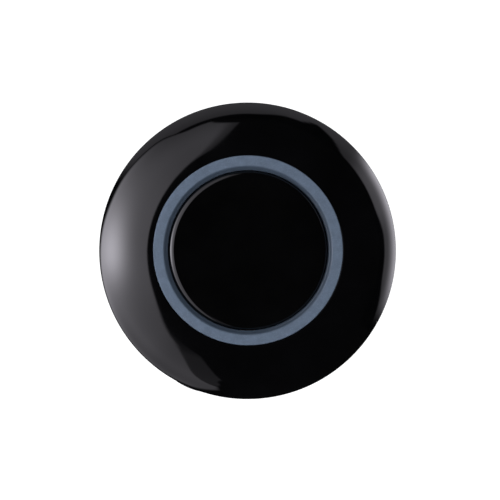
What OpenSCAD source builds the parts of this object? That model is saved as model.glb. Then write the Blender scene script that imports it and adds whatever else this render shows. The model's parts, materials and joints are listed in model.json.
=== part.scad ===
// Panel push button with a wide domed collar, a light ring round its press cap,
// and a clip-on holder that carries two contact blocks and a lamp block.
// +Z points out of the panel, towards the finger. z = 0 is the panel's front face.

/* [Collar] */
// Outside diameter of the domed collar
collar_d = 46; // [44.5:0.5:48]
// Height of the collar's crest above the panel
collar_h = 8.4; // [8.2:0.1:8.8]
// Height of the upright rim under the dome
rim_h = 2.3; // [2:0.1:2.6]

/* [Light ring] */
// Outside diameter of the light ring
ring_d = 29.3; // [29.2:0.1:30]
// Width of the ring's flat top face
ring_face = 1.56; // [1.4:0.02:1.7]

/* [Press cap] */
// Diameter of the press cap
cap_d = 24.5; // [24:0.1:24.6]
// Rounding of the cap's edge
cap_edge = 0.9; // [0.8:0.1:1.4]
// How far the cap stands above the collar's crest
cap_proud = 0.4; // [0:0.1:0.8]
// Travel of the press cap
travel = 4; // [3:0.1:4]

/* [Panel fixing] */
// Diameter of the stem that goes through a 22.3 mm panel hole
stem_d = 22; // [21.8:0.1:22]
// Thickness of the panel between collar and clamp screws
panel_t = 3; // [2:0.5:4]

/* [Blocks] */
// Distance between the centres of neighbouring blocks
block_pitch = 10; // [10:0.1:10.2]
// Width of one block
block_w = 9.8; // [9.6:0.1:9.8]
// Length of a block from wire entry to wire entry
block_l = 35; // [34.5:0.5:36]
// Depth of a block behind the holder
block_h = 25; // [24.5:0.5:27]
// Number of lamps round the ring
lamp_count = 8; // [4:1:10]

/* [Hidden] */
$fn = 96;

gap = 0.1;           // play between pieces that don't move against each other
slide_gap = 0.15;    // play between pieces that slide

// Collar and dome: one arc from the lip round the light ring down to the rim.
collar_r = collar_d / 2;
ring_r = ring_d / 2;
lip_r = ring_r + 0.05;
crest_slope = 3.7;
dome_run = collar_r - lip_r;
dome_drop = collar_h - rim_h;
dome_r = (pow(dome_run, 2) + pow(dome_drop, 2))
    / (2 * (dome_drop * cos(crest_slope) - dome_run * sin(crest_slope)));
dome_c = [lip_r - dome_r * sin(crest_slope), collar_h - dome_r * cos(crest_slope)];
collar_wall = 1.9;
core_spans = [[16, 17.1], [18.3, collar_r - 1.7]];   // grooves that core out the collar from below
rib_count = 12;
rib_w = 1.2;
hook_count = 4;
hook_angle = 22;

// Stem body: tube through the panel, flange under the collar, well round the cap.
stem_r = stem_d / 2;
bore_r = 8.5;
seal_seat = [9.35, 1];       // counterbore for the seal: radius, height of its floor
barrel_r = stem_r - 0.3;
key_h = 1.5;         // how far the key reaches into the panel's notch
land_z = [-panel_t - 0.9, -key_h - 0.1];   // full-width land that centres the stem in the panel
key_w = 3.1;
key_r = 12.05;
flange_r = 16.9;
flange_z = [0.9, 2];
pocket_r = flange_r + gap;
pocket_top = 3.5;
cap_r = cap_d / 2;
well_r = cap_r + 0.12;
well_wall = 0.7;
stem_bottom = -11.5;
stem_floor = 1.6;
lead_in = 0.3;

// Light ring, light guide and lamp board, stacked under the ring's face.
ring_t = 2;
ring_bottom = collar_h - ring_t;
guide_r = [well_r + well_wall + gap, lip_r - gap];
guide_bottom = 3.7;
board_r = [well_r + well_wall + 0.05, flange_r - 0.5];
board_t = 0.8;
board_top = flange_z[1] + board_t;
chip = [1.2, 2, 0.7];       // radial, along the ring, upwards
chip_r = (guide_r[0] + guide_r[1]) / 2;
resistor = [0.8, 1.6, 0.45];

// Press cap and plunger.
cap_top = collar_h + cap_proud;
cap_t = 1.6;
skirt_t = 1.3;
cap_under = cap_top - cap_t;
cap_skirt = cap_top - travel - flange_z[1] - 0.3;
head_r = 6;
head_t = 1;
rod_r = 4.25;
shoulder_z = [-1.2, 0.8];
shoulder_r = bore_r - slide_gap;
foot_top = stem_bottom - gap;
foot_t = 2.8;
foot_r = 8.9;
foot_bottom = foot_top - foot_t;
rod_bottom = foot_top - 1.2;
screw_head_r = 2.2;
screw_head_t = 0.9;
seal_t = 0.5;
seal_h = cap_under - head_t - gap - seal_seat[1];

// Supply strips: two flat springs that run down the stem to the lamp block.
strip_y = [9.45, 9.95];
strip_w = 2.4;
strip_reach = 14.4;
strip_bottom = -22.5;

// Holder behind the panel.
holder_top = -panel_t - 1;
holder_x = 30;
holder_y = 43.4;
holder_corner = 10;
holder_bore = barrel_r + 0.2;
holder_well = 10.3;
block_top = foot_bottom - travel - 0.4;
block_bottom = block_top - block_h;
latch_t = 2;
latch_z = holder_top - 0.2 - latch_t;
latch_pivot = [10.6, 14.2];
latch_reach = norm(latch_pivot) - barrel_r - gap;
latch_hub = 3.4;
pin_r = 1.5;
pin_head = [2.5, 0.5];       // radius, thickness
clamp_y = 19.2;
clamp_r = 1.5;

// Blocks. In a block's own frame +X is the side that faces the stem's axis.
cover_t = 1;
wall = 1;
deck = 2;
floor_t = 1.6;
room_y = 9.3;                // half length of the switching chamber
bay_y = [11.2, 16.4];        // terminal bay
bay_mid = (bay_y[0] + bay_y[1]) / 2;
bay_z = [block_bottom + 2.6, block_bottom + 13.2];
room_x = [-block_w / 2 + cover_t, block_w / 2 - wall];
room_z = [block_bottom + floor_t, block_top - deck];
tip_x = 2.4;                 // plunger tip, off the block's middle, under the foot
tip_r = 1.3;
tip_top = foot_bottom - gap;
carriage_x = [-2, 3.6];
carriage_y = 2.6;
carriage_h = 9.4;
carriage_top = room_z[1] - 0.3;
carriage_bottom = carriage_top - carriage_h;
carriage_mid = (carriage_x[0] + carriage_x[1]) / 2;
spring_socket = 1.2;
bar_x = [-0.7, 2.3];
bar_y = 8;
bar_t = 0.8;
pad_r = 1.2;
pad_t = 0.6;
pad_y = 6.6;
plate_t = 1.4;
plate_z = block_bottom + 10;
strap_t = 0.9;
strap_top = plate_z + plate_t;
bar_bottom = strap_top + 2 * pad_t + travel + 0.05;
terminal_r = 1.75;
terminal_head = [2.8, 2.2];   // radius, height
head_bottom = block_bottom + 2.8;
clamp_t = 1;
clamp_half = 3.2;
entry = 3.8;                  // wire entry, square
entry_rim = 0.6;              // stepped frame round a wire entry
marker_r = 1.8;               // coloured disc on the back of a contact block
marker_t = 0.65;
relief = 0.3;                 // depth of the moulded recesses on a block
grip_w = 1.2;                 // grip grooves on the holder
hook = [3, 1.6, 3.6];
hook_y = 12.5;

// ---- helpers ----

module disc(r, z0, z1) {
    translate([0, 0, z0]) cylinder(r = r, h = z1 - z0);
}

module tube(r_out, r_in, z0, z1) {
    difference() {
        disc(r_out, z0, z1);
        disc(r_in, z0 - 1, z1 + 1);
    }
}

module slab(x, y, z) {
    translate([x[0], y[0], z[0]]) cube([x[1] - x[0], y[1] - y[0], z[1] - z[0]]);
}

module both_ends() {
    for (flip = [0, 1]) mirror([0, flip, 0]) children();
}

module rounded_plate(x, y, r, z0, z1) {
    translate([0, 0, z0]) linear_extrude(z1 - z0) {
        square([x - 2 * r, y], center = true);
        square([x, y - 2 * r], center = true);
        for (sx = [-1, 1], sy = [-1, 1]) translate([sx * (x / 2 - r), sy * (y / 2 - r)]) circle(r);
    }
}

// Height of a coil spring's wire after t turns: the two end turns lie flat.
function coil_rise(t, turns, span, d) =
    t < 1 ? t * d
    : t > turns - 1 ? span - (turns - t) * d
    : d + (t - 1) * (span - 2 * d) / (turns - 2);

// Compression spring between z0 and z1.
module coil_spring(mean_r, wire_r, turns, z0, z1, steps = 16, sides = 8) {
    rings = turns * steps;
    span = z1 - z0 - 2 * wire_r;
    points = [
        for (i = [0:rings], j = [0:sides - 1])
            let (a = 360 * i / steps, b = 360 * j / sides, r = mean_r + wire_r * cos(b))
            [
                r * cos(a),
                r * sin(a),
                z0 + wire_r + coil_rise(i / steps, turns, span, 2.1 * wire_r) + wire_r * sin(b)
            ]
    ];
    skin = [
        for (i = [0:rings - 1], j = [0:sides - 1])
            let (k = (j + 1) % sides, a = i * sides, b = a + sides)
            each [[a + j, b + j, b + k], [a + j, b + k, a + k]]
    ];
    ends = [
        [for (j = [0:sides - 1]) j],
        [for (j = [sides - 1:-1:0]) rings * sides + j]
    ];
    polyhedron(points, concat(skin, ends));
}

// ---- head ----

module dome_section() {
    intersection() {
        union() {
            translate(dome_c) circle(dome_r, $fn = 240);
            square([collar_r, rim_h]);
            square([dome_c[0], collar_h]);
        }
        polygon([
            [0, 0], [collar_r - lead_in, 0], [collar_r, lead_in],
            [collar_r, collar_h], [0, collar_h]
        ]);
    }
}

module core_grooves() {
    difference() {
        for (span = core_spans) rotate_extrude() intersection() {
            translate(dome_c) circle(dome_r - collar_wall, $fn = 240);
            translate([span[0], -1]) square([span[1] - span[0], collar_h]);
        }
        for (i = [0:rib_count - 1]) rotate(360 * i / rib_count)
            slab([core_spans[1][0] - 1, collar_r], [-rib_w / 2, rib_w / 2], [-1, collar_h]);
        tube(core_spans[1][0], pocket_r, -1, pocket_top);
    }
}

module collar() {
    color("#0c0c0e") {
        difference() {
            rotate_extrude() dome_section();
            disc(pocket_r, -1, pocket_top);
            disc(lip_r, 0, collar_h + 1);
            core_grooves();
        }
        for (i = [0:hook_count - 1])
            rotate(45 + 360 * i / hook_count - hook_angle / 2)
                rotate_extrude(angle = hook_angle)
                    polygon([
                        [pocket_r + 0.3, 0.2], [pocket_r, 0.2],
                        [flange_r - 0.3, 0.8], [pocket_r + 0.3, 0.8]
                    ]);
    }
}

module light_ring() {
    inner = ring_r - ring_face;
    color("#66738a") rotate_extrude() polygon([
        [well_r, ring_bottom], [ring_r, ring_bottom], [ring_r, collar_h],
        [inner, collar_h], [well_r + 0.3, collar_h - 0.4], [well_r, collar_h - 0.56]
    ]);
}

module light_guide() {
    color("#dfe6ea") difference() {
        tube(guide_r[1], guide_r[0], guide_bottom, ring_bottom);
        for (i = [0:lamp_count - 1]) rotate(22.5 + 360 * i / lamp_count)
            translate([guide_r[0] - 1, 0, guide_bottom]) rotate([0, 90, 0]) cylinder(r = 0.9, h = 4);
    }
}

module led_board() {
    color("#e9ece6") difference() {
        tube(board_r[1], board_r[0], flange_z[1], board_top);
        for (i = [0:2]) rotate(30 + 120 * i) translate([board_r[1], 0, 0]) disc(0.8, 0, collar_h);
    }
}

module led_chips() {
    color("#f3eebb") for (i = [0:lamp_count - 1]) rotate(22.5 + 360 * i / lamp_count)
        slab([chip_r - chip[0] / 2, chip_r + chip[0] / 2], [-chip[1] / 2, chip[1] / 2],
            [board_top, board_top + chip[2]]);
}

module board_resistors() {
    color("#1b1b1b") for (i = [0:lamp_count - 1]) rotate(360 * i / lamp_count)
        slab([15.2, 15.2 + resistor[0]], [-resistor[1] / 2, resistor[1] / 2],
            [board_top, board_top + resistor[2]]);
}

module supply_strips() {
    half = strip_w / 2;
    color("#c9a24a") both_ends() {
        slab([-half, half], strip_y, [strip_bottom, flange_z[1]]);
        slab([-half, half], [strip_y[0], strip_reach], [flange_z[1] - 0.5, flange_z[1]]);
    }
}

module strip_channels() {
    half = strip_w / 2 + slide_gap;
    both_ends() {
        slab([-half, half], [strip_y[0] - slide_gap, strip_y[1] + slide_gap],
            [stem_bottom - 1, flange_z[1] + 1]);
        slab([-half, half], [strip_y[0], strip_reach + gap], [flange_z[1] - 0.6, flange_z[1]]);
    }
}

module stem_body() {
    color("#1a1a1c") difference() {
        union() {
            disc(barrel_r, stem_bottom + lead_in, flange_z[0]);
            disc(stem_r, land_z[0], land_z[1]);
            translate([0, 0, stem_bottom])
                cylinder(r1 = barrel_r - lead_in, r2 = barrel_r, h = lead_in);
            slab([-key_w / 2, key_w / 2], [barrel_r - 1, key_r], [-key_h, flange_z[0]]);
            disc(flange_r, flange_z[0], flange_z[1]);
            tube(well_r + well_wall, well_r, flange_z[1], ring_bottom - gap);
        }
        disc(bore_r, stem_bottom + stem_floor, collar_h);
        disc(seal_seat[0], seal_seat[1], collar_h);
        disc(rod_r + slide_gap, stem_bottom - 1, 0);
        strip_channels();
    }
}

module panel_gasket() {
    color("#2b2d30") tube(flange_r - 0.4, key_r + 0.35, 0, flange_z[0]);
}

module diaphragm_seal() {
    z = seal_seat[1];
    top = z + seal_h;
    rim = seal_seat[0] - gap / 2;
    bead = rod_r + slide_gap;
    color("#3a3c40") rotate_extrude() polygon([
        [bore_r - 0.3, z], [rim, z], [rim, z + seal_t], [bore_r - 0.2, z + seal_t],
        [7.8, z + 1.4], [7, top - 1.2], [5.8, top], [bead, top],
        [bead, top - 0.9], [5.4, top - 0.9], [6.5, top - 1.7], [7.3, z + 1.1]
    ]);
}

module seal_retainer() {
    z = seal_seat[1] + seal_t;
    color("#b8bcc0") tube(seal_seat[0] - gap / 2, bore_r + 0.1, z, z + 0.5);
}

module return_spring() {
    color("#b9bcc0") coil_spring(6.2, 0.45, 5, stem_bottom + stem_floor, shoulder_z[0], 20);
}

module press_cap() {
    color("#070708") {
        rotate_extrude() difference() {
            union() {
                translate([0, cap_under]) square([cap_r - cap_edge, cap_t]);
                translate([0, cap_top - cap_skirt]) square([cap_r, cap_skirt - cap_edge]);
                translate([cap_r - cap_edge, cap_top - cap_edge]) circle(cap_edge);
            }
            translate([-1, cap_top - cap_skirt - 1]) square([cap_r - skirt_t + 1, cap_skirt - cap_t + 1]);
        }
        tube(head_r + 1.3, head_r + 0.1, cap_under - head_t, cap_under + 0.2);
    }
}

module plunger() {
    color("#e8e8e4") difference() {
        union() {
            disc(head_r, cap_under - head_t, cap_under);
            disc(rod_r, rod_bottom, cap_under - head_t);
            disc(shoulder_r, shoulder_z[0], shoulder_z[1]);
        }
        disc(1.05, rod_bottom - 1, rod_bottom + 4.6);
        for (a = [0:60:300]) rotate(a)
            translate([6.4, 0, 0]) disc(1.1, shoulder_z[0] + 0.8, shoulder_z[1] + 1);
    }
}

module pusher_foot() {
    color("#d9d9d4") difference() {
        disc(foot_r, foot_bottom, foot_top);
        disc(rod_r + 0.05, rod_bottom, foot_top + 1);
        disc(1.15, foot_bottom - 1, foot_top);
        disc(screw_head_r + gap, foot_bottom - 1, foot_bottom + 1);
    }
}

module foot_screw() {
    z = foot_bottom + 1 - screw_head_t;
    color("#a9adb2") difference() {
        union() {
            disc(screw_head_r, z, z + screw_head_t);
            disc(1, z + screw_head_t, rod_bottom + 4.4);
        }
        cross_slot(z, 2.6, 0.6, 0.5);
    }
}

// Cross recess in a screw head that faces down.
module cross_slot(z, long, wide, deep) {
    for (a = [0, 90]) rotate(a)
        slab([-long / 2, long / 2], [-wide / 2, wide / 2], [z - 1, z + deep]);
}

// ---- holder ----

module latch_room() {
    z = [latch_z - gap, holder_top + 1];
    translate([latch_pivot[0], latch_pivot[1], 0]) {
        disc(latch_hub + 0.4, z[0], z[1]);
        intersection() {
            disc(latch_reach + 0.4, z[0], z[1]);
            slab([-latch_reach - 1, latch_reach + 1], [-latch_reach - 1, 0], z);
        }
    }
    slab([12, holder_x], [-6, latch_pivot[1]], z);
    slab([latch_pivot[0], holder_x], [latch_pivot[1] - 1, latch_pivot[1] + latch_hub + 1.4], z);
}

module block_holder() {
    color("#202226") difference() {
        union() {
            rounded_plate(holder_x, holder_y, holder_corner, block_top, holder_top);
            rounded_plate(holder_x + 0.8, holder_y + 0.8, holder_corner + 0.4, block_top, block_top + 1.6);
        }
        disc(holder_bore, stem_bottom - 0.9, holder_top + 1);
        disc(holder_well, block_top - 1, stem_bottom);
        latch_room();
        translate([latch_pivot[0], latch_pivot[1], 0]) disc(pin_r + 0.02, holder_top - 6, holder_top);
        both_ends() translate([0, clamp_y, 0]) disc(clamp_r + 0.05, block_top - 1, holder_top + 1);
        both_ends() for (i = [-1:1])
            slab([i * block_pitch - 1.8, i * block_pitch + 1.8], [hook_y - 1.1, hook_y + 1.1],
                [block_top - 1, block_top + 4.2]);
        for (side = [-1, 1], i = [-2:2])
            slab([side * holder_x / 2 - 0.5, side * holder_x / 2 + 0.5],
                [2 * i * grip_w - grip_w / 2, 2 * i * grip_w + grip_w / 2],
                [block_top + 2.6, block_top + 7.6]);
        both_ends() for (i = [-1:1])
            slab([2 * i * grip_w - grip_w / 2, 2 * i * grip_w + grip_w / 2],
                [holder_y / 2 - 0.3, holder_y / 2 + 1], [block_top + 2.6, block_top + 10]);
    }
}

module latch_lever() {
    tip = latch_reach - 1;
    aim = atan2(-latch_pivot[1], -latch_pivot[0]);
    arm = [12.4, 14.7];
    color("#3f6ea8") difference() {
        union() {
            translate([latch_pivot[0], latch_pivot[1], latch_z]) linear_extrude(latch_t) {
                circle(latch_hub);
                rotate(aim) {
                    polygon([[0, -2.8], [tip, -1], [tip, 1], [0, 2.8]]);
                    translate([tip, 0]) circle(1);
                }
            }
            slab(arm, [-3.4, latch_pivot[1]], [latch_z, latch_z + latch_t]);
            slab([arm[0], 16], [-4.6, 0.4], [latch_z, latch_z + latch_t]);
            slab([15.3, 17.6], [-4.6, 0.4], [latch_z - 2.6, latch_z + latch_t]);
        }
        translate([latch_pivot[0], latch_pivot[1], 0]) disc(pin_r + 0.1, latch_z - 1, holder_top);
        for (i = [0:2]) slab([17.2, 18], [-4 + 1.5 * i, -3.3 + 1.5 * i], [latch_z - 3, holder_top]);
    }
}

module lever_pin() {
    color("#b4b8bc") translate([latch_pivot[0], latch_pivot[1], 0]) {
        disc(pin_r, holder_top - 5.8, holder_top);
        disc(pin_head[0], holder_top, holder_top + pin_head[1]);
    }
}

module clamp_screws() {
    color("#a9adb2") both_ends() translate([0, clamp_y, 0]) difference() {
        union() {
            disc(clamp_r, block_top + 0.4, holder_top + 0.4);
            translate([0, 0, holder_top + 0.4]) cylinder(r1 = clamp_r, r2 = 1, h = 0.6);
        }
        slab([-2, 2], [-0.3, 0.3], [block_top - 1, block_top + 1.4]);
    }
}

// ---- blocks ----

// Shallow moulded relief on the back and the ends of a block.
module block_relief() {
    both_ends() {
        translate([0, bay_mid, 0]) tube(terminal_head[0] + 0.9, terminal_head[0] + 0.5,
            block_bottom - 1, block_bottom + relief);
        slab([-entry / 2 - entry_rim, entry / 2 + entry_rim], [block_l / 2 - relief - 0.2, block_l],
            [plate_z - entry - 0.1 - entry_rim, plate_z - 0.1 + entry_rim]);
        for (i = [0:2])
            slab([-3, 3], [block_l / 2 - relief, block_l], [plate_z + 2 + 1.6 * i, plate_z + 2.8 + 1.6 * i]);
    }
    slab([-3, 3], [-room_y, room_y], [block_bottom - 1, block_bottom + relief]);
}

// Snap window with the catch of the housing showing in it, on a cover.
module snap_window() {
    difference() {
        slab([-block_w, -block_w / 2 + relief], [-1.5, 1.5], [-1, 1]);
        slab([-block_w / 2 + 0.05, 0], [-0.8, 0.8], [-1, 0.2]);
    }
}

module block_side(x0, x1) {
    l = block_l / 2;
    translate([x0, 0, 0]) rotate([90, 0, 90]) linear_extrude(x1 - x0) polygon([
        [-l + 0.6, block_bottom], [l - 0.6, block_bottom], [l, block_bottom + 0.6],
        [l, block_top - 6.5], [l - 2.4, block_top - 4], [l - 2.4, block_top],
        [-l + 2.4, block_top], [-l + 2.4, block_top - 4],
        [-l, block_top - 6.5], [-l, block_bottom + 0.6]
    ]);
}

module terminal_bay() {
    slab([-3.5, 3.5], bay_y, bay_z);
    translate([0, bay_mid, 0])
        disc(terminal_head[0] + 0.2, block_bottom - 1, head_bottom + terminal_head[1] + 0.2);
    slab([-entry / 2, entry / 2], [bay_y[1] - 1, block_l], [plate_z - entry - 0.1, plate_z - 0.1]);
    slab([bar_x[0] - gap, bar_x[1] + gap], [room_y - 1, bay_y[0] + 1],
        [strap_top - strap_t - gap, strap_top + gap]);
}

module block_housing() {
    difference() {
        union() {
            block_side(room_x[0], block_w / 2);
            both_ends() translate([0, hook_y, block_top]) {
                slab([-hook[0] / 2, hook[0] / 2], [-hook[1] / 2, hook[1] / 2], [-1, hook[2]]);
                slab([-hook[0] / 2, hook[0] / 2], [0, 0.95], [hook[2] - 1.2, hook[2]]);
            }
        }
        slab([room_x[0] - 1, room_x[1]], [-room_y, room_y], room_z);
        both_ends() terminal_bay();
        block_relief();
    }
}

module block_cover() {
    difference() {
        block_side(-block_w / 2, room_x[0]);
        slab([-block_w, -block_w / 2 + 0.2], [-7.8, 7.8], [room_z[0] + 2, room_z[0] + 12]);
        for (i = [-3:3]) slab([-block_w, -block_w / 2 + 0.5], [i * 2 - 0.5, i * 2 + 0.5],
            [room_z[0] + 3, room_z[0] + 11]);
        for (y = [-13.5, 13.5], z = [block_bottom + 4, block_top - 9]) translate([0, y, z]) snap_window();
    }
}

module contact_housing() {
    difference() {
        block_housing();
        translate([tip_x, 0, 0]) disc(tip_r + slide_gap, room_z[1] - 1, block_top + 1);
        disc(marker_r + gap, block_bottom - 1, block_bottom + marker_t + 0.15);
    }
    translate([carriage_mid, 0, 0]) disc(1.2, room_z[0] - 0.2, room_z[0] + 1.5);
}

module contact_plunger() {
    difference() {
        union() {
            translate([tip_x, 0, 0]) disc(tip_r, carriage_top - 1, tip_top);
            slab(carriage_x, [-carriage_y, carriage_y], [carriage_bottom, carriage_top]);
        }
        slab([bar_x[0] - gap, bar_x[1] + gap], [-5, 5], [bar_bottom - gap, bar_bottom + bar_t + gap]);
        translate([carriage_mid, 0, 0]) disc(2.3, carriage_bottom - 1, carriage_bottom + spring_socket);
    }
}

module contact_spring() {
    translate([carriage_mid, 0, 0])
        coil_spring(1.75, 0.25, 7, room_z[0], carriage_bottom + spring_socket, 12, 6);
}

// Moving bar: pads under it close onto the straps, pads on top open from them.
module bridge(pads_up) {
    x = (bar_x[0] + bar_x[1]) / 2;
    z = pads_up ? bar_bottom + bar_t : bar_bottom - pad_t;
    slab(bar_x, [-bar_y, bar_y], [bar_bottom, bar_bottom + bar_t]);
    both_ends() translate([x, pad_y, 0]) disc(pad_r, z, z + pad_t);
}

module terminal_plate() {
    difference() {
        slab([-clamp_half, clamp_half], [bay_y[0] + 0.2, bay_y[1] - 0.2], [plate_z, strap_top]);
        translate([0, bay_mid, 0]) disc(terminal_r + 0.04, plate_z - 1, strap_top + 1);
    }
}

module closing_contacts() {
    x = (bar_x[0] + bar_x[1]) / 2;
    both_ends() {
        terminal_plate();
        slab(bar_x, [5.2, bay_y[0] + 0.4], [strap_top - strap_t, strap_top]);
        translate([x, pad_y, 0]) disc(pad_r, strap_top - 0.1, strap_top + pad_t);
    }
}

module opening_contacts() {
    x = (bar_x[0] + bar_x[1]) / 2;
    z = bar_bottom + bar_t + 2 * pad_t + 0.05;
    both_ends() {
        terminal_plate();
        slab(bar_x, [room_y - 0.9, bay_y[0] + 0.4], [strap_top - strap_t, strap_top]);
        slab(bar_x, [room_y - 0.9, room_y - 0.1], [strap_top - strap_t, z + strap_t]);
        slab(bar_x, [5.2, room_y - 0.1], [z, z + strap_t]);
        translate([x, pad_y, 0]) disc(pad_r, z - pad_t, z + 0.1);
    }
}

module terminal_screws() {
    both_ends() translate([0, bay_mid, 0]) difference() {
        union() {
            disc(terminal_head[0], head_bottom, head_bottom + terminal_head[1]);
            disc(terminal_r, head_bottom + terminal_head[1], strap_top + 1.2);
        }
        cross_slot(head_bottom, 3.8, 0.7, 1.2);
        slab([-4, 4], [-0.45, 0.45], [head_bottom - 1, head_bottom + 0.8]);
    }
}

module wire_clamps() {
    z = head_bottom + terminal_head[1];
    both_ends() difference() {
        slab([-clamp_half, clamp_half], [bay_y[0] + 0.2, bay_y[1] - 0.2], [z, z + clamp_t]);
        translate([0, bay_mid, 0]) disc(terminal_r + gap, z - 1, z + clamp_t + 1);
    }
}

// Coloured disc that tells a closing block from an opening one.
module marker() {
    disc(marker_r, block_bottom + 0.15, block_bottom + 0.15 + marker_t);
}

// The closing (no) block sits on the left, the opening (nc) block on the right, seen from the front.
module at_left() {
    translate([-block_pitch, 0, 0]) children();
}

module at_right() {
    translate([block_pitch, 0, 0]) mirror([1, 0, 0]) children();
}

module no_housing() { color("#c9cdd0") at_left() contact_housing(); }
module no_cover() { color("#bfc4c8") at_left() block_cover(); }
module no_plunger() { color("#2f8f4e") at_left() contact_plunger(); }
module no_spring() { color("#b9bcc0") at_left() contact_spring(); }
module no_bridge() { color("#c8a765") at_left() bridge(false); }
module no_contacts() { color("#c8a765") at_left() closing_contacts(); }
module no_terminal_screws() { color("#b4b8bc") at_left() terminal_screws(); }
module no_wire_clamps() { color("#b4b8bc") at_left() wire_clamps(); }
module no_marker() { color("#2f8f4e") at_left() marker(); }

module nc_housing() { color("#c9cdd0") at_right() contact_housing(); }
module nc_cover() { color("#bfc4c8") at_right() block_cover(); }
module nc_plunger() { color("#b3312c") at_right() contact_plunger(); }
module nc_spring() { color("#b9bcc0") at_right() contact_spring(); }
module nc_bridge() { color("#c8a765") at_right() bridge(true); }
module nc_contacts() { color("#c8a765") at_right() opening_contacts(); }
module nc_terminal_screws() { color("#b4b8bc") at_right() terminal_screws(); }
module nc_wire_clamps() { color("#b4b8bc") at_right() wire_clamps(); }
module nc_marker() { color("#b3312c") at_right() marker(); }

// The lamp block takes the supply strips in two sockets and feeds them from its terminals.
socket_x = 1.6;
socket_y = [9, 10.4];
leaf_t = 0.3;
lamp_board_y = 8.8;

module lamp_housing() {
    color("#e4e4de") {
        difference() {
            block_housing();
            both_ends() slab([-socket_x, socket_x], socket_y, [plate_z - 0.2, block_top + 1]);
        }
        both_ends() for (x = [-1.4, 0.5])
            slab([x, x + 0.9], [lamp_board_y - 0.6, room_y + 0.2], [room_z[0] - 0.2, plate_z - 0.6]);
    }
}

module lamp_cover() {
    color("#dcdcd6") block_cover();
}

module lamp_contacts() {
    half = strip_w / 2;
    z = [strip_bottom - 0.8, block_top - 0.4];
    color("#c8a765") both_ends() {
        slab([-half, half], [strip_y[0] - 0.05 - leaf_t, strip_y[0] - 0.05], z);
        slab([-half, half], [strip_y[1] + 0.05, strip_y[1] + 0.05 + leaf_t], z);
        slab([-half, half], [strip_y[0] - 0.05 - leaf_t, strip_y[1] + 0.05 + leaf_t], [z[0], z[0] + 0.4]);
        slab([-half, half], [9.5, 9.9], [strap_top - strap_t, z[0] + 0.2]);
        slab([bar_x[0], half], [9.5, bay_y[0] + 0.4], [strap_top - strap_t, strap_top]);
        slab([0.45, 0.85], [lamp_board_y - 1.4, 9.7], [plate_z + 3, plate_z + 5]);
        terminal_plate();
    }
}

module lamp_board() {
    color("#2f6b45") slab([-0.4, 0.4], [-lamp_board_y, lamp_board_y], [room_z[0], block_top - 4]);
}

module lamp_components() {
    color("#26272a") {
        slab([0.4, 2.4], [-6.6, -1.6], [plate_z, plate_z + 3.4]);
        slab([0.4, 1.6], [1.5, 4.5], [plate_z + 1, plate_z + 7]);
        slab([0.4, 1.2], [5.4, 7], [plate_z + 1, plate_z + 4]);
        translate([0.4, -4, plate_z + 7]) rotate([0, 90, 0]) cylinder(r = 1.6, h = 2.6);
    }
}

module lamp_terminal_screws() { color("#b4b8bc") terminal_screws(); }
module lamp_wire_clamps() { color("#b4b8bc") wire_clamps(); }

collar();
light_ring();
light_guide();
led_board();
led_chips();
board_resistors();
supply_strips();
stem_body();
panel_gasket();
diaphragm_seal();
seal_retainer();
return_spring();
press_cap();
plunger();
pusher_foot();
foot_screw();
block_holder();
latch_lever();
lever_pin();
clamp_screws();
no_housing();
no_cover();
no_plunger();
no_spring();
no_bridge();
no_contacts();
no_terminal_screws();
no_wire_clamps();
no_marker();
nc_housing();
nc_cover();
nc_plunger();
nc_spring();
nc_bridge();
nc_contacts();
nc_terminal_screws();
nc_wire_clamps();
nc_marker();
lamp_housing();
lamp_cover();
lamp_board();
lamp_components();
lamp_contacts();
lamp_terminal_screws();
lamp_wire_clamps();
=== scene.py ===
import bpy
import bmesh
import json
import math
from mathutils import Matrix, Vector


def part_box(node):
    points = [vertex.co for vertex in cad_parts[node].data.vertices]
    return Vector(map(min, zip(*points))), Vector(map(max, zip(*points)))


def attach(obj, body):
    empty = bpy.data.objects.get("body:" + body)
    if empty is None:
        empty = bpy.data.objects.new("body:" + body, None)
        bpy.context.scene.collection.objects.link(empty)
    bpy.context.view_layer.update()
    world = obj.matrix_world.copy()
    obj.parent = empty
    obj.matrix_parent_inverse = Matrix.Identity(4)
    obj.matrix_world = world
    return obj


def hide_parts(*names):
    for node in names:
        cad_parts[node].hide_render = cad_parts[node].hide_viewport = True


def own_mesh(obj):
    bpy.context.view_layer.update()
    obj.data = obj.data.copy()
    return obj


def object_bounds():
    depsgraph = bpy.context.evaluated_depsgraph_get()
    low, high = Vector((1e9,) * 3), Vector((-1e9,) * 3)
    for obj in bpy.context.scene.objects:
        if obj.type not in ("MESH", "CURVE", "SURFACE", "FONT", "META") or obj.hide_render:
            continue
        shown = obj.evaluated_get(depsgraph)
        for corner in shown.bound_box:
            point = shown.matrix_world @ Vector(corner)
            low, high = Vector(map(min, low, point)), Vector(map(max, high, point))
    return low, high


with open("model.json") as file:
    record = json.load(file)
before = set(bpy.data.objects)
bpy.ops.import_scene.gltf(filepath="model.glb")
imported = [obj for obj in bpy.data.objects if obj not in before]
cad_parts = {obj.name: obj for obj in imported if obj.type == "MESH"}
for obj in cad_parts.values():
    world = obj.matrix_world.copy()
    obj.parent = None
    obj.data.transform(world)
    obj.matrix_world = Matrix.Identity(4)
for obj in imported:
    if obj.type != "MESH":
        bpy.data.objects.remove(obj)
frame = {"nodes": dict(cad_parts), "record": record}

CAD_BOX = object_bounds()
MM = 0.001
NODES = frame["nodes"]
SLOT_OF = {s["node"]: s["material_slot"] for s in frame["record"]["subparts"]}
RANGE_OF = {j["name"]: j["range_m"] for j in frame["record"]["behaviour"]["joints"] if "range_m" in j}


def mm_box(node):
    """(low, high) of a CAD node in millimetres."""
    lo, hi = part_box(node)
    return [c / MM for c in lo], [c / MM for c in hi]


# ------------------------------------------------------------------ head sizes, mm and degrees

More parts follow.
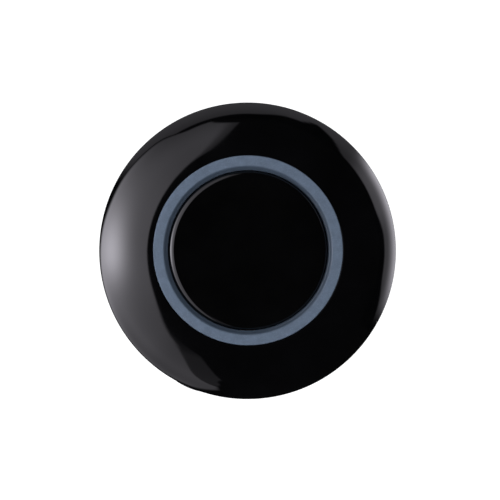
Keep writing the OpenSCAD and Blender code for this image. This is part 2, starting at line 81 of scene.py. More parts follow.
RING_LO, RING_HI = mm_box("light_ring")
RING_R = RING_HI[0]
RING_FACE = 1.56            # width of the ring's flat face
CAP_PLAY = 0.12             # between cap and ring
LIP_R = RING_R + 0.05       # where the collar's dome starts
CREST = 3.7                 # slope of the dome there
RIM_H = 2.3                 # height of the upright rim below the dome
RIM_W = 1.7
COLLAR_WALL = 1.9
GROOVE_R = 18.3             # inner side of the groove that cores out the collar
SEAT_R, SEAT_H = 17.0, 3.5  # pocket for the stem's flange
CORE_R = 16.0


# ------------------------------------------------------------------ materials

class Shader:
    """A principled material with short ways to add noise, bump and mixes."""

    def __init__(self, name):
        self.mat = bpy.data.materials.new(name)
        self.mat.use_nodes = True
        self.tree = self.mat.node_tree
        self.tree.nodes.clear()
        self.out = self.node("ShaderNodeOutputMaterial")
        self.bsdf = self.node("ShaderNodeBsdfPrincipled")
        self.link(self.bsdf.outputs[0], self.out.inputs[0])
        self.where = self.node("ShaderNodeTexCoord").outputs["Object"]
        self.normal = None

    def node(self, kind, **facts):
        n = self.tree.nodes.new(kind)
        for key, value in facts.items():
            setattr(n, key, value)
        return n

    def link(self, a, b):
        self.tree.links.new(a, b)

    def set(self, **values):
        for key, value in values.items():
            self.bsdf.inputs[key.replace("_", " ")].default_value = value
        return self

    def noise(self, size_mm, detail=2.0, rough=0.5, stretch=None, distortion=0.0):
        """Noise whose features are about size_mm across."""
        n = self.node("ShaderNodeTexNoise")
        n.inputs["Scale"].default_value = 1 / (size_mm * MM)
        n.inputs["Detail"].default_value = detail
        n.inputs["Roughness"].default_value = rough
        n.inputs["Distortion"].default_value = distortion
        source = self.where
        if stretch:
            m = self.node("ShaderNodeMapping")
            m.inputs["Scale"].default_value = stretch
            self.link(source, m.inputs["Vector"])
            source = m.outputs[0]
        self.link(source, n.inputs["Vector"])
        return n.outputs["Fac"]

    def range(self, value, lo, hi, to_lo, to_hi):
        r = self.node("ShaderNodeMapRange")
        r.inputs["From Min"].default_value = lo
        r.inputs["From Max"].default_value = hi
        r.inputs["To Min"].default_value = to_lo
        r.inputs["To Max"].default_value = to_hi
        self.link(value, r.inputs["Value"])
        return r.outputs[0]

    def mix(self, a, b, fac):
        """Colour mix; a and b are colours or sockets."""
        m = self.node("ShaderNodeMix", data_type="RGBA")
        for socket, value in ((m.inputs[6], a), (m.inputs[7], b)):
            if isinstance(value, (tuple, list)):
                socket.default_value = tuple(value[:3]) + (1,)
            else:
                self.link(value, socket)
        self.link(fac, m.inputs[0])
        return m.outputs[2]

    def math(self, operation, a, b):
        m = self.node("ShaderNodeMath", operation=operation)
        for socket, value in ((m.inputs[0], a), (m.inputs[1], b)):
            if isinstance(value, (int, float)):
                socket.default_value = value
            else:
                self.link(value, socket)
        return m.outputs[0]

    def bump(self, height, depth_mm, strength=1.0):
        """Adds a bump of depth_mm on top of any earlier one."""
        b = self.node("ShaderNodeBump")
        b.inputs["Strength"].default_value = strength
        b.inputs["Distance"].default_value = depth_mm * MM
        self.link(height, b.inputs["Height"])
        if self.normal:
            self.link(self.normal, b.inputs["Normal"])
        self.normal = b.outputs[0]
        self.link(self.normal, self.bsdf.inputs["Normal"])
        return self

    def colour(self, socket):
        self.link(socket, self.bsdf.inputs["Base Color"])
        return self

    def rough(self, socket):
        self.link(socket, self.bsdf.inputs["Roughness"])
        return self


def tint(colour, k):
    return tuple(min(1.0, c * k) for c in colour[:3])


def gloss_black(name, colour, rough):
    """Polished moulding: near-black, faint orange peel, hairline rub marks and a little dust haze."""
    s = Shader(name)
    s.set(IOR=1.5)
    haze = s.noise(9, 3, 0.6)
    s.colour(s.mix(tint(colour, 0.8), tint(colour, 1.5), s.range(haze, 0.35, 0.7, 0, 1)))
    rub = s.noise(0.5, 2, 0.6, stretch=(1, 14, 1), distortion=0.4)
    rub_b = s.noise(0.6, 2, 0.6, stretch=(12, 1, 1), distortion=0.4)
    lines = s.range(s.math("MAXIMUM", rub, rub_b), 0.66, 0.76, 0, 0.05)
    s.rough(s.math("ADD", s.range(haze, 0.3, 0.7, rough, rough + 0.035), lines))
    s.bump(s.noise(2.6, 2, 0.5), 0.0035)
    return s.mat


def frosted(name, colour):
    """Etched light diffuser with a fine sparkle grain; its bevel is smoother and painted darker, as painted
    shade for the recess by the cap.
    """
    s = Shader(name)
    s.set(IOR=1.45, Subsurface_Weight=0.15, Subsurface_Scale=0.6 * MM)
    s.bsdf.inputs["Subsurface Radius"].default_value = (0.8, 0.9, 1.0)
    cloud = s.noise(1.4, 4, 0.65)
    grain = s.noise(0.16, 2, 0.7)
    soft = s.mix(tint(colour, 0.86), tint(colour, 1.14), s.range(cloud, 0.3, 0.7, 0, 1))
    face = s.mix(soft, tint(colour, 1.5), s.range(grain, 0.5, 0.75, 0, 0.8))
    split = s.node("ShaderNodeSeparateXYZ")
    s.link(s.where, split.inputs[0])
    radius = s.math("SQRT", s.math("ADD", s.math("POWER", split.outputs["X"], 2),
                                   s.math("POWER", split.outputs["Y"], 2)), 0)
    step = RING_R - RING_FACE
    flat = s.range(radius, (step - 0.24) * MM, (step + 0.11) * MM, 0, 1)
    # painted shade: the bevel gets half the ring's colour to stand in for the shade of the recess by the cap
    s.colour(s.mix(tint(colour, 0.5), face, flat))
    s.rough(s.math("ADD", s.math("MULTIPLY", s.range(grain, 0.3, 0.7, 0.32, 0.48), flat), 0.1))
    s.bump(s.math("MULTIPLY", grain, s.range(flat, 0, 1, 0.3, 1)), 0.012, 0.8)
    return s.mat


def moulded(name, colour, rough=0.45, grain_mm=0.22, depth=0.012, worn=1.35, cloudy=0.1):
    """Spark-textured moulding: even grain, cloudy colour, edges rubbed a little lighter and smoother."""
    s = Shader(name)
    s.set(IOR=1.5)
    cloud = s.noise(7, 3, 0.55)
    base = s.mix(tint(colour, 1 - cloudy), tint(colour, 1 + cloudy), s.range(cloud, 0.3, 0.7, 0, 1))
    edge = s.range(s.node("ShaderNodeNewGeometry").outputs["Pointiness"], 0.5, 0.58, 0, 1)
    patch = s.math("MULTIPLY", edge, s.range(s.noise(1.5, 3, 0.6), 0.4, 0.62, 0, 1))
    s.colour(s.mix(base, tint(colour, worn), patch))
    s.rough(s.math("SUBTRACT", s.range(s.noise(3.4, 2, 0.5), 0.3, 0.7, rough, rough + 0.03),
                   s.math("MULTIPLY", patch, 0.12)))
    s.bump(s.noise(grain_mm, 2, 0.6), depth)
    return s.mat


def rubber(name, colour):
    """Moulded seal rubber: dull, faint bloom, fine pores."""
    s = Shader(name)
    s.set(IOR=1.48)
    bloom = s.noise(3, 4, 0.6)
    s.colour(s.mix(colour, tint(colour, 1.9), s.range(bloom, 0.45, 0.8, 0, 0.7)))
    s.rough(s.range(bloom, 0.3, 0.7, 0.62, 0.8))
    s.bump(s.noise(0.12, 2, 0.6), 0.01)
    return s.mat


def metal(name, colour, rough=0.28, brushed=None, stain=0.12):
    """Plated or drawn metal: slight cloudiness, rolling lines and dull spots."""
    s = Shader(name)
    s.set(Metallic=1.0)
    cloud = s.noise(1.8, 3, 0.6)
    s.colour(s.mix(tint(colour, 1 - stain), tint(colour, 1.04), s.range(cloud, 0.3, 0.65, 0, 1)))
    s.rough(s.range(s.noise(0.9, 3, 0.6), 0.3, 0.7, rough, rough + 0.14))
    s.bump(s.noise(0.09, 2, 0.5, stretch=brushed or (1, 1, 1)), 0.004)
    return s.mat


def clear(name):
    """Clear light guide: transmitting, with faint flow haze."""
    s = Shader(name)
    s.set(IOR=1.58, Transmission_Weight=0.85)
    haze = s.noise(2, 3, 0.6)
    s.colour(s.mix((0.86, 0.9, 0.93), (0.75, 0.82, 0.88), s.range(haze, 0.3, 0.7, 0, 1)))
    s.rough(s.range(haze, 0.3, 0.7, 0.12, 0.3))
    s.bump(s.noise(0.4, 2, 0.5), 0.006)
    return s.mat


def board(name, colour, upright):
    """Solder mask over copper: slightly raised straight tracks and a satin gloss."""
    s = Shader(name)
    s.set(IOR=1.5)
    tracks = s.node("ShaderNodeTexBrick", offset=0.5)
    tracks.inputs["Scale"].default_value = 260
    tracks.inputs["Mortar Size"].default_value = 0.05
    tracks.inputs["Color1"].default_value = (0, 0, 0, 1)
    tracks.inputs["Color2"].default_value = (0, 0, 0, 1)
    tracks.inputs["Mortar"].default_value = (1, 1, 1, 1)
    turn = s.node("ShaderNodeMapping")
    turn.inputs["Rotation"].default_value = (0, math.radians(90), 0) if upright else (0, 0, 0)
    s.link(s.where, turn.inputs["Vector"])
    s.link(turn.outputs[0], tracks.inputs["Vector"])
    s.colour(s.mix(colour, tint(colour, 1.5), tracks.outputs["Color"]))
    s.rough(s.range(s.noise(1.2, 2, 0.5), 0.3, 0.7, 0.25, 0.4))
    s.bump(tracks.outputs["Color"], 0.02)
    return s.mat


def make_materials():
    """One material per slot; slots without a recipe are plain mouldings in the record's colour."""
    made = {
        "collar_black": gloss_black("collar_black", (0.0010, 0.0010, 0.0012), 0.05),
        "cap_black": gloss_black("cap_black", (0.0009, 0.0009, 0.0010), 0.05),
        "frosted_ring": frosted("frosted_ring", (0.084, 0.112, 0.157)),
        "clear_guide": clear("clear_guide"),
        "white_board": board("white_board", (0.72, 0.74, 0.7), False),
        "board_green": board("board_green", (0.02, 0.14, 0.06), True),
        "gasket_rubber": rubber("gasket_rubber", (0.018, 0.019, 0.021)),
        "seal_rubber": rubber("seal_rubber", (0.03, 0.03, 0.033)),
        "stem_black": moulded("stem_black", (0.008, 0.008, 0.009), 0.38, cloudy=0.05),
        "holder_black": moulded("holder_black", (0.009, 0.0095, 0.011), 0.42, worn=2.4, cloudy=0.05),
        "bright_steel": metal("bright_steel", (0.62, 0.63, 0.65), 0.2),
        "spring_wire": metal("spring_wire", (0.55, 0.56, 0.58), 0.24),
        "zinc_screw": metal("zinc_screw", (0.60, 0.61, 0.62), 0.26),
        "strip_brass": metal("strip_brass", (0.72, 0.50, 0.22), 0.22, brushed=(1, 1, 0.1)),
        "contact_brass": metal("contact_brass", (0.72, 0.52, 0.28), 0.24),
    }
    for row in frame["record"]["materials"]:
        if row["slot"] not in made:
            made[row["slot"]] = moulded(row["slot"], row["base_color"][:3], 0.36, worn=1.1, cloudy=0.015)
    return made


MATS = make_materials()


# ------------------------------------------------------------------ mesh tools

def soften(points, steps=5):
    """Outline with its corners rounded. A point is (x, y) or (x, y, radius)."""
    out = []
    n = len(points)
    for i, p in enumerate(points):
        here = Vector(p[:2])
        radius = p[2] if len(p) > 2 else 0
        if not radius:
            out.append(here)
            continue
        a = (Vector(points[i - 1][:2]) - here).normalized()
        b = (Vector(points[(i + 1) % n][:2]) - here).normalized()
        half = a.angle(b) / 2
        if half > math.radians(89):
            out.append(here)
            continue
        centre = here + (a + b).normalized() * (radius / math.sin(half))
        start = here + a * (radius / math.tan(half)) - centre
        end = here + b * (radius / math.tan(half)) - centre
        sweep = start.angle_signed(end)
        for k in range(steps + 1):
            spin = Matrix.Rotation(-sweep * k / steps, 2)
            out.append(centre + spin @ start)
    return out


def add_object(name, bm, slot, body, replaces=(), sharp=32):
    """Turns a bmesh in millimetres into a piece of the model."""
    bmesh.ops.scale(bm, vec=(MM, MM, MM), verts=bm.verts)
    bmesh.ops.recalc_face_normals(bm, faces=bm.faces)
    mesh = bpy.data.meshes.new(name)
    bm.to_mesh(mesh)
    bm.free()
    mesh.shade_smooth()
    mesh.set_sharp_from_angle(angle=math.radians(sharp))
    obj = bpy.data.objects.new(name, mesh)
    bpy.context.scene.collection.objects.link(obj)
    mesh.materials.append(MATS[slot])
    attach(obj, body)
    if replaces:
        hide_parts(*replaces)
    return obj


def lathe(bm, outline, segments=192, arc=360.0, start=0.0):
    """Turns a closed outline of (radius, height) about the Z axis."""
    count = segments if arc == 360.0 else segments + 1
    rings = []
    for r, z in outline:
        if r < 1e-6:
            rings.append([bm.verts.new((0, 0, z))])
            continue
        ring = []
        for k in range(count):
            a = math.radians(start + arc * k / segments)
            ring.append(bm.verts.new((r * math.cos(a), r * math.sin(a), z)))
        rings.append(ring)
    for i, lower in enumerate(rings):
        upper = rings[(i + 1) % len(rings)]
        for k in range(segments):
            j = (k + 1) % count
            if len(lower) == 1 and len(upper) == 1:
                break
            if len(lower) == 1:
                bm.faces.new((lower[0], upper[j], upper[k]))
            elif len(upper) == 1:
                bm.faces.new((lower[k], lower[j], upper[0]))
            else:
                bm.faces.new((lower[k], lower[j], upper[j], upper[k]))
    if arc != 360.0:
        bm.faces.new([ring[0] for ring in rings])
        bm.faces.new([ring[-1] for ring in reversed(rings)])
    return bm


# ------------------------------------------------------------------ head

def dome_points(lo, hi, steps, inset=0.0):
    """The collar's dome as an arc from radius lo to radius hi, inset from the outer skin."""
    _, (outer, _, top) = mm_box("collar")
    run, drop = outer - LIP_R, top - RIM_H
    c, s = math.cos(math.radians(CREST)), math.sin(math.radians(CREST))
    radius = (run * run + drop * drop) / (2 * (drop * c - run * s))
    centre = (LIP_R - radius * s, top - radius * c)
    radius -= inset
    a0 = math.asin((lo - centre[0]) / radius)
    a1 = math.asin(min(1, (hi - centre[0]) / radius))
    return [(centre[0] + radius * math.sin(a), centre[1] + radius * math.cos(a))
            for a in (a0 + (a1 - a0) * k / steps for k in range(steps + 1))]


def make_collar():
    """Domed ring with a rolled lip, cored out below, with ribs and snap hooks."""
    _, (r, _, top) = mm_box("collar")
    inside = r - RIM_W
    dome = dome_points(LIP_R + 0.12, r - 0.03, 40)
    groove = dome_points(GROOVE_R, inside, 10, inset=COLLAR_WALL)
    core = dome_points(CORE_R, SEAT_R + 0.1, 4, inset=COLLAR_WALL)
    outline = [(LIP_R, SEAT_H), (LIP_R, top - 0.12), (LIP_R + 0.04, top - 0.03)] + dome
    outline += soften([(r, RIM_H - 0.1), (r, 0.0, 0.22), (inside, 0.0)])
    outline += groove[::-1] + [(GROOVE_R, 0.0), (SEAT_R, 0.0), (SEAT_R, SEAT_H), (SEAT_R + 0.1, SEAT_H)]
    outline += core[::-1] + [(CORE_R, SEAT_H)]
    bm = lathe(bmesh.new(), outline, 256)
    for k in range(12):
        add_rib(bm, 30 * k, groove)
    add_hooks(bm)
    return add_object("collar", bm, "collar_black", "head", ["collar"])


def add_rib(bm, angle, groove):
    """A radial web across the collar's groove, sunk a little into its walls."""
    near, far = groove[0][0] - 0.1, groove[-1][0] + 0.1
    side = [(near, 0.02), (far, 0.02)] + [(x, z + 0.15) for x, z in groove[::-3]]
    side[2] = (far, side[2][1])
    side[-1] = (near, side[-1][1])
    spin = Matrix.Rotation(math.radians(angle), 3, "Z")
    rows = [[bm.verts.new(spin @ Vector((x, y, z))) for x, z in side] for y in (-0.6, 0.6)]
    bm.faces.new(rows[0])
    bm.faces.new(rows[1][::-1])
    for i in range(len(side)):
        j = (i + 1) % len(side)
        bm.faces.new((rows[0][i], rows[0][j], rows[1][j], rows[1][i]))


def add_hooks(bm):
    """Four snap hooks that hold the collar under the stem's flange."""
    outline = [(SEAT_R + 0.25, 0.2), (SEAT_R + 0.25, 0.8), (SEAT_R - 0.4, 0.8), (SEAT_R, 0.2)]
    for k in range(4):
        lathe(bm, outline, 12, arc=22, start=34 + 90 * k)


def make_light_ring():
    """Flat-faced ring with a two-step bevel down to the cap."""
    top, bottom = RING_HI[2], RING_LO[2]
    bore = mm_box("press_cap")[1][0] + CAP_PLAY
    outline = soften([
        (bore, bottom, 0.06), (RING_R, bottom, 0.06), (RING_R, top, 0.1),
        (RING_R - RING_FACE, top, 0.12), (bore + 0.3, top - 0.33, 0.06), (bore, top - 0.46, 0.04),
    ])
    return add_object("light_ring", lathe(bmesh.new(), outline, 256), "frosted_ring", "head", ["light_ring"])


def make_press_cap():
    """Flat cap with a rounded edge, a skirt, and a round socket below for the plunger's head."""
    (_, _, low), (r, _, top) = mm_box("press_cap")
    fillet, wall, roof = 0.9, 1.3, 1.6
    socket = (6.1, 7.3)
    under, foot = top - roof, low + 0.1
    edge = [(r - fillet + fillet * math.sin(a), top - fillet + fillet * math.cos(a))
            for a in (math.pi / 2 * k / 14 for k in range(15))]
    skirt = [(r, low + 1), (r, foot, 0.08), (r - wall, foot, 0.08), (r - wall, low + 1)]
    outline = [(0, top)] + [(r * k / 16, top) for k in range(1, 14)] + edge
    outline += soften(skirt)[1:-1] + [(r - wall, under)]
    outline += [(socket[1], under), (socket[1], low), (socket[0], low), (socket[0], under), (0, under)]
    return add_object("press_cap", lathe(bmesh.new(), outline, 256), "cap_black", "pusher", ["press_cap"])


def coil(node, turns, wire, body):
    """A round-wire compression spring with flat end turns."""
    lo, hi = mm_box(node)
    x, y = (lo[0] + hi[0]) / 2, (lo[1] + hi[1]) / 2
    mean = (hi[1] - lo[1]) / 2 - wire
    span = hi[2] - lo[2] - 2 * wire
    per_turn, sides = 48, 12
    flat = 2.06 * wire

    def rise(t):
        if t < 1:
            return t * flat
        if t > turns - 1:
            return span - (turns - t) * flat
        return flat + (t - 1) * (span - 2 * flat) / (turns - 2)

    bm = bmesh.new()
    rings = []
    for i in range(turns * per_turn + 1):
        a = math.tau * i / per_turn
        taper = min(1.0, 0.35 + 0.65 * min(i, turns * per_turn - i) / 30)
        ring = []
        for k in range(sides):
            b = math.tau * k / sides
            r = mean + wire * math.cos(b)
            z = lo[2] + wire + rise(i / per_turn) + wire * taper * math.sin(b)
            ring.append(bm.verts.new((x + r * math.cos(a), y + r * math.sin(a), z)))
        rings.append(ring)
    for a, b in zip(rings, rings[1:]):
        for k in range(sides):
            j = (k + 1) % sides
            bm.faces.new((a[k], b[k], b[j], a[j]))
    bm.faces.new(rings[0])
    bm.faces.new(rings[-1][::-1])
    obj = add_object(node, bm, "spring_wire", body, [node], sharp=60)
    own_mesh(obj)
    return obj


def make_seal():
    """Convoluted rubber seal between stem and cap."""
    lo, hi = mm_box("diaphragm_seal")
    rim, z, top = hi[0], lo[2], hi[2]
    outline = soften([
        (8.2, z, 0.1), (rim, z, 0.1), (rim, z + 0.5, 0.1), (8.35, z + 0.5, 0.15),
        (7.8, z + 1.4, 0.5), (7.35, z + 2.1, 0.3), (7.5, z + 2.7, 0.3), (7.0, top - 1.2, 0.5),
        (5.8, top, 0.4), (4.4, top, 0.1), (4.4, top - 0.9, 0.1), (5.4, top - 0.9, 0.4),
        (6.5, top - 1.7, 0.5), (7.0, z + 2.7, 0.3), (6.9, z + 2.1, 0.3), (7.3, z + 1.1, 0.3),
    ])
    bm = lathe(bmesh.new(), outline, 96)
    obj = add_object("diaphragm_seal", bm, "seal_rubber", "head", ["diaphragm_seal"])
    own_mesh(obj)
    return obj


def make_springs():
    coil("return_spring", 5, 0.45, "head")
    for side in ("no", "nc"):
        coil(side + "_spring", 7, 0.25, "holder")


# Edge rounding of each carried-over node, mm.
EDGE_MM = {
    "stem_body": 0.15, "block_holder": 0.4, "latch_lever": 0.3, "panel_gasket": 0.3,
    "no_housing": 0.3, "nc_housing": 0.3, "lamp_housing": 0.3,
    "no_cover": 0.2, "nc_cover": 0.2, "lamp_cover": 0.2,
    "plunger": 0.15, "pusher_foot": 0.25, "foot_screw": 0.12, "lever_pin": 0.12, "clamp_screws": 0.12,
    "no_plunger": 0.2, "nc_plunger": 0.2, "no_bridge": 0.1, "nc_bridge": 0.1,
    "no_contacts": 0.08, "nc_contacts": 0.08, "lamp_contacts": 0.06, "supply_strips": 0.08,
    "no_terminal_screws": 0.2, "nc_terminal_screws": 0.2, "lamp_terminal_screws": 0.2,
    "no_wire_clamps": 0.15, "nc_wire_clamps": 0.15, "lamp_wire_clamps": 0.15,
    "light_guide": 0.1, "led_board": 0.05, "led_chips": 0.1, "board_resistors": 0.06,
    "lamp_board": 0.05, "lamp_components": 0.12, "seal_retainer": 0.08, "no_marker": 0.12, "nc_marker": 0.12,
}


def round_edges(obj, width_mm):
    """Rounds a carried-over solid's hard edges the way a moulding or a stamping has them."""
    weld = obj.modifiers.new("weld", "WELD")
    weld.merge_threshold = 0.00002
    flat = obj.modifiers.new("flat", "DECIMATE")
    flat.decimate_type = "DISSOLVE"
    flat.angle_limit = math.radians(0.6)
    bevel = obj.modifiers.new("bevel", "BEVEL")
    bevel.limit_method = "ANGLE"
    bevel.angle_limit = math.radians(30)
    bevel.width = width_mm * MM
    bevel.segments = 3
    bevel.use_clamp_overlap = True
    bevel.harden_normals = False
    shade = obj.modifiers.new("shade", "WEIGHTED_NORMAL")
    shade.keep_sharp = False
    shade.weight = 100


def carry_over():
    """CAD nodes whose shape is right keep it, with rounded edges and the finish of their slot."""
    for name, obj in NODES.items():
        if obj.hide_render:
            continue
        obj.data.materials.clear()
        obj.data.materials.append(MATS[SLOT_OF[name]])
        round_edges(obj, EDGE_MM[name])


# ------------------------------------------------------------------ studio

def glow_material(name, colour):
    """Light-giving material whose brightness is each vertex's glow."""
    mat = bpy.data.materials.new(name)
    mat.use_nodes = True
    tree = mat.node_tree
    tree.nodes.clear()
    out = tree.nodes.new("ShaderNodeOutputMaterial")
    light = tree.nodes.new("ShaderNodeEmission")
    read = tree.nodes.new("ShaderNodeAttribute")
    read.attribute_name = "glow"
    light.inputs["Color"].default_value = tuple(colour) + (1,)
    tree.links.new(read.outputs["Fac"], light.inputs["Strength"])
    tree.links.new(light.outputs[0], out.inputs[0])
    return mat


def stage_object(name, mesh, mat, camera=False, glossy=True, diffuse=False, shadow=False):
    """A stage piece, seen only by the kinds of ray that are switched on."""
    obj = bpy.data.objects.new(name, mesh)
    bpy.context.scene.collection.objects.link(obj)
    mesh.materials.append(mat)
    obj.visible_camera = camera
    obj.visible_glossy = glossy
    obj.visible_diffuse = diffuse
    obj.visible_shadow = shadow
    return obj


def smooth(x, lo, hi):
    """0 below lo, 1 above hi, with an S-shaped rise between them."""
    t = max(0.0, min(1.0, (x - lo) / (hi - lo)))
    return t * t * (3 - 2 * t)


def glowing_sheet(name, rows, columns, place, glow):
    """A curved sheet seen only in reflections. place(u, v) is a point, glow(u, v) its brightness."""
    bm = bmesh.new()
    layer = bm.verts.layers.float.new("glow")
    grid = []
    for i in range(rows + 1):
        line = []
        for k in range(columns + 1):
            u, v = i / rows, k / columns
            vert = bm.verts.new(place(u, v))
            vert[layer] = glow(u, v)
            line.append(vert)
        grid.append(line)
    for a, b in zip(grid, grid[1:]):
        for k in range(columns):
            bm.faces.new((a[k], a[k + 1], b[k + 1], b[k]))
    mesh = bpy.data.meshes.new(name)
    bm.to_mesh(mesh)
    bm.free()
    mesh.shade_smooth()
    return stage_object(name, mesh, glow_material(name, (0.96, 0.93, 1.02)))


def left_sweep():
    """A curved white sweep to the left, with a lamp's hot patch at the object's own height.

    y runs along the sweep in units of its radius rho; angle is 0 overhead and 90 level with the object.
    """
    rho, foot, head = 0.25, -4.8, 4.2

    def polar(u, v):
        """y, the angles at which full and faint light begin and all light ends, and the angle itself."""
        y = foot + (head - foot) * u
        drop = smooth(-y, 0.3, 0.8)
        near = 20.2 - 6 * math.tanh(3 * y)
        if y < 0:
            near = 20.2 + 17 * (1 - math.exp(-(y / 0.45) ** 2)) - 8 * drop
        start = near - 6 * smooth(-y, 0.65, 0.95) + 10 * max(0, -y - 0.9) - 3.5 * smooth(y, 0.35, 0.6)
        far = min(158, 131 - 24 * y, 190 + 15 * y) if y < 0 else 131 - 8 * smooth(y, 0, 0.4)
        far -= 5 * smooth(y, 0.4, 1) + 28 * smooth(y, 1, 2.2)
        return y, near, start, far, start + (far - start) * v

    def place(u, v):
        y, *_, angle = polar(u, v)
        a = math.radians(angle)
        return -rho * math.sin(a), y * rho, rho * math.cos(a)

    def glow(u, v):
        y, near, start, far, angle = polar(u, v)
        a = math.radians(angle)
        tilt = math.degrees(math.acos(math.cos(a) / math.hypot(1, y)))
        off = math.degrees(math.atan2(y, math.sin(a)))
        hot = math.exp(-((tilt - 87) / 27) ** 2 - (off / (16 if off > 0 else 11.5)) ** 2)
        warm = math.exp(-((tilt - 92) / 40) ** 2 - (off / (42 if off > 0 else 34)) ** 2)
        up, down = smooth(off, 15, 62), smooth(-off, 8, 42)
        high = (1 - 0.4 * up) * (1 - 0.62 * up * smooth(tilt, 50, 108))
        low = (1 - 0.3 * down - 0.16 * smooth(-off, 40, 55)) * (1 - 0.45 * down * smooth(tilt, 88, 120))
        drop, past = smooth(-y, 0.3, 0.8), max(0, -y - 0.8)
        faint = 0.09 * drop + 0.17 * smooth(-y, 0.75, 1.15) + 0.4 * smooth(y, 0.3, 0.5)
        full = near + 8 * drop + 23 * past + 4.9 * past ** 3
        edge = faint * smooth(angle - start, 0, 2)
        edge += (1 - faint) * smooth(angle - full, 0, 2 + 9 * max(0, y - 0.6))
        end = smooth(far - angle, 0, 9) * smooth(y - foot, 0, 0.5) * smooth(head - y, 0, 0.8)
        return ((1.55 + warm) * high * low + 5.6 * hot) * edge * end

    return glowing_sheet("left_sweep", 140, 90, place, glow)


def under_sweep():
    """Light thrown back up past the rim: strongest to the right, faint at the top, none below.

    turn is the direction round the axis from +X, tilt the angle from overhead, both in degrees.
    """
    rho = 1.0

    def angles(u, v):
        return -32 + 186 * u, 84 + 59 * v

    def place(u, v):
        turn, tilt = angles(u, v)
        t, a = math.radians(turn), math.radians(tilt)
        return rho * math.sin(a) * math.cos(t), rho * math.sin(a) * math.sin(t), rho * math.cos(a)

    def glow(u, v):
        turn, tilt = angles(u, v)
        right = smooth(turn, -27, -6) * (1 - smooth(turn, 30, 44))
        upper = smooth(turn, 6, 20) * (1 - smooth(turn, 50, 64))
        start = 95 + 20 * (1 - smooth(turn, -30, -8)) - 8 * upper
        start += 8 * smooth(turn, 52, 66) * (1 - smooth(turn, 72, 86))
        start += 18 * smooth(turn, 44, 54) * (1 - smooth(turn, 60, 68))
        strong = 0.62 + 1.7 * smooth(tilt, 104, 132) + 0.35 * upper
        faint = 0.32 * smooth(turn, -30, -20) * (1 - smooth(turn, 138, 153))
        faint *= 1 - 0.3 * smooth(tilt, 110, 135)
        return (right * strong + (1 - right) * faint) * smooth(tilt, start, start + 4)

    return glowing_sheet("under_sweep", 90, 60, place, glow)


def soft_lamp(name, place, aim, size, watts):
    """A large soft lamp for matt surfaces; mirrors see the sweeps instead."""
    data = bpy.data.lights.new(name, "AREA")
    data.shape = "DISK"
    data.size = size
    data.energy = watts
    obj = bpy.data.objects.new(name, data)
    bpy.context.scene.collection.objects.link(obj)
    obj.location = place
    obj.rotation_mode = "QUATERNION"
    obj.rotation_quaternion = (Vector(place) - Vector(aim)).to_track_quat("Z", "Y")
    obj.visible_glossy = False
    obj.visible_camera = False


def make_floor():
    """A pale floor, low enough for the released blocks to hang free, clear when seen from below."""
    z = CAD_BOX[0][2] - RANGE_OF["holder_release"][1] - MM
    bm = bmesh.new()
    bmesh.ops.create_grid(bm, x_segments=1, y_segments=1, size=3)
    bmesh.ops.translate(bm, vec=(0, 0, z), verts=bm.verts)
    mesh = bpy.data.meshes.new("floor")
    bm.to_mesh(mesh)
    bm.free()
    s = Shader("floor")
    s.set(Roughness=0.9)
    s.bsdf.inputs["Base Color"].default_value = (0.3, 0.3, 0.3, 1)
    s.bsdf.inputs["Specular IOR Level"].default_value = 0
    s.bsdf.inputs["Emission Color"].default_value = (1, 1, 1, 1)
    s.bsdf.inputs["Emission Strength"].default_value = 0.85
    below = s.node("ShaderNodeMixShader")
    s.link(s.node("ShaderNodeNewGeometry").outputs["Backfacing"], below.inputs[0])
    s.link(s.bsdf.outputs[0], below.inputs[1])
    s.link(s.node("ShaderNodeBsdfTransparent").outputs[0], below.inputs[2])
    s.link(below.outputs[0], s.out.inputs[0])
    return stage_object("floor", mesh, s.mat, camera=True, glossy=False, diffuse=True, shadow=True)


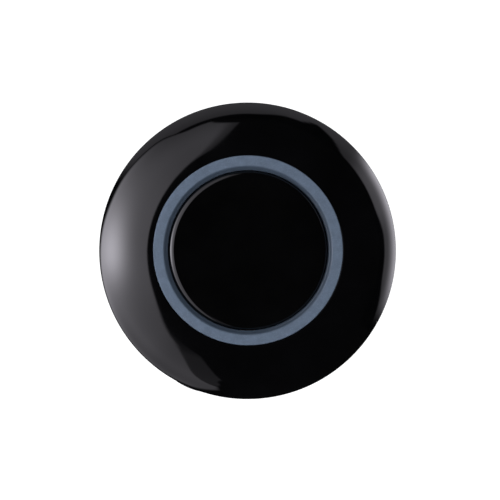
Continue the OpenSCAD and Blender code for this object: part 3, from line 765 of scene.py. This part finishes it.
def make_world():
    """White surround for the camera, a soft fill for matt surfaces and darkness in reflections."""
    world = bpy.data.worlds.new("studio")
    bpy.context.scene.world = world
    world.use_nodes = True
    tree = world.node_tree
    tree.nodes.clear()
    path = tree.nodes.new("ShaderNodeLightPath")
    seen = tree.nodes.new("ShaderNodeBackground")
    fill = tree.nodes.new("ShaderNodeBackground")
    dark = tree.nodes.new("ShaderNodeBackground")
    seen.inputs["Strength"].default_value = 1.0
    seen.inputs["Color"].default_value = (1, 1, 1, 1)
    fill.inputs["Color"].default_value = (0.55, 0.57, 0.6, 1)
    dark.inputs["Color"].default_value = (0.008, 0.008, 0.008, 1)
    inner = tree.nodes.new("ShaderNodeMixShader")
    outer = tree.nodes.new("ShaderNodeMixShader")
    out = tree.nodes.new("ShaderNodeOutputWorld")
    tree.links.new(path.outputs["Is Glossy Ray"], inner.inputs[0])
    tree.links.new(fill.outputs[0], inner.inputs[1])
    tree.links.new(dark.outputs[0], inner.inputs[2])
    tree.links.new(path.outputs["Is Camera Ray"], outer.inputs[0])
    tree.links.new(inner.outputs[0], outer.inputs[1])
    tree.links.new(seen.outputs[0], outer.inputs[2])
    tree.links.new(outer.outputs[0], out.inputs[0])


def make_camera():
    """Looks straight down on the cap from in front, a fraction from the lower left."""
    far, view_width = 1.5, 0.0775
    target = Vector((0.00038, 0.00012, 0.0023))
    tilt = math.sin(math.radians(0.7))
    lean = Vector((-tilt, -tilt, 1)).normalized()
    data = bpy.data.cameras.new("camera")
    cam = bpy.data.objects.new("camera", data)
    bpy.context.scene.collection.objects.link(cam)
    cam.location = target + lean * far
    cam.rotation_mode = "QUATERNION"
    side = Vector((0, 1, 0)).cross(lean).normalized()
    cam.rotation_quaternion = Matrix((side, lean.cross(side), lean)).transposed().to_quaternion()
    data.sensor_width = 36
    data.lens = data.sensor_width * far / view_width
    data.clip_start, data.clip_end = 0.01, 20
    bpy.context.scene.camera = cam


def make_studio():
    make_floor()
    make_world()
    left_sweep()
    under_sweep()
    soft_lamp("key", (-0.3, -0.12, 0.27), (0, 0, -0.01), 0.25, 1.45)
    soft_lamp("fill", (0.7, -0.3, 0.15), (0, 0, -0.02), 0.6, 1.9)
    soft_lamp("back", (0.1, 0.8, 0.2), (0, 0, -0.02), 0.6, 2.0)
    make_camera()
    bpy.context.scene.view_settings.view_transform = "Standard"


make_collar()
make_light_ring()
make_press_cap()
make_seal()
make_springs()
carry_over()
make_studio()
